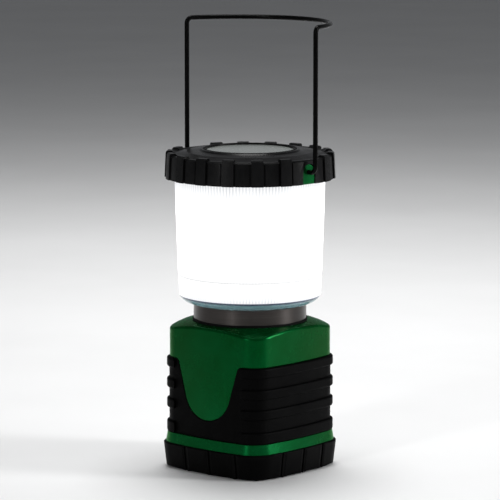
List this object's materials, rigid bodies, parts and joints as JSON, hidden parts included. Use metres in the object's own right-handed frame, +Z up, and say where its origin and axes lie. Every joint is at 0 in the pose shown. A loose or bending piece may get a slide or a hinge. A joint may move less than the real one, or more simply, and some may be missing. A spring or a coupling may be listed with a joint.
{
  "type": "camping lantern",
  "caption": "Upright battery camping lantern: ribbed cap with a swinging wire bail, lit round globe, metal collar and a square green body with a ribbed rubber grip.",
  "frame": {"origin": "on the floor under the centre of the body, at the underside of the base cover", "axes": "+Z up, -Y is the face with the bare panel, +Y the face with the power button, and the bail's pivots lie close to X"},
  "size_m": [0.1052, 0.0972, 0.2553],
  "materials": {
    "green_plastic": "gloss moulded",
    "black_rubber": "soft moulded",
    "cap_rubber": "satin moulded",
    "black_plastic": "fine grain",
    "gunmetal": "dark anodised, brushed",
    "black_wire": "black coated",
    "globe_diffuser": "prismatic, lit",
    "clear_plastic": "clear moulded",
    "grey_disc": "satin gloss",
    "white_plastic": "white gloss",
    "mirror_coat": "bright",
    "heat_sink": "bare",
    "board": "lacquered board",
    "white_board": "white lacquered board",
    "led_yellow": "phosphor",
    "cell_jacket": "printed jacket",
    "spring_metal": "nickel plated",
    "screw_steel": "zinc plated",
    "seal_rubber": "soft",
    "wire_jacket": "insulated"
  },
  "bodies": {
    "housing": {"housing_shell": "green_plastic", "lower_ring": "green_plastic", "rubber_grip": "black_rubber", "collar_ring": "gunmetal", "collar_gasket": "seal_rubber", "battery_cradle": "black_plastic", "battery_cell_1": "cell_jacket", "battery_cell_2": "cell_jacket", "battery_cell_3": "cell_jacket", "top_contact_board": "board", "top_contacts": "spring_metal", "lead_wires": "wire_jacket", "switch_board": "board", "tact_switch": "black_plastic", "button_bezel": "black_plastic", "led_pedestal": "heat_sink", "pedestal_screws": "screw_steel", "led_board": "white_board", "led_chips": "led_yellow", "reflector_dish": "white_plastic", "ring_screws": "screw_steel"},
    "head": {"globe": "globe_diffuser", "globe_bowl": "clear_plastic", "globe_seal": "seal_rubber", "cap_frame": "green_plastic", "top_cap": "cap_rubber", "top_disc": "grey_disc", "top_reflector": "mirror_coat", "cap_screws": "screw_steel"},
    "bail": {"bail_handle": "black_wire"},
    "button": {"power_button": "black_rubber"},
    "base": {"base_cover": "black_rubber", "contact_carrier": "black_plastic", "cover_contacts": "spring_metal", "cover_seal": "seal_rubber"}
  },
  "joints": [
    {"name": "bail_swing", "type": "hinge", "parent": "head", "child": "bail", "pos_m": [0, 0, 0.173], "axis": [0.9976, -0.0698, 0], "range_deg": [-118, 178]},
    {"name": "head_twist", "type": "hinge", "parent": "housing", "child": "head", "pos_m": [0, 0, 0.0906], "axis": [0, 0, 1], "range_deg": [0, 24]},
    {"name": "button_press", "type": "slide", "parent": "housing", "child": "button", "axis": [0, -1, 0], "range_m": [0, 0.0013], "stiffness_N_per_m": 400},
    {"name": "cover_twist", "type": "hinge", "parent": "housing", "child": "base", "pos_m": [0, 0, 0.0073], "axis": [0, 0, 1], "range_deg": [0, 20]}
  ]
}
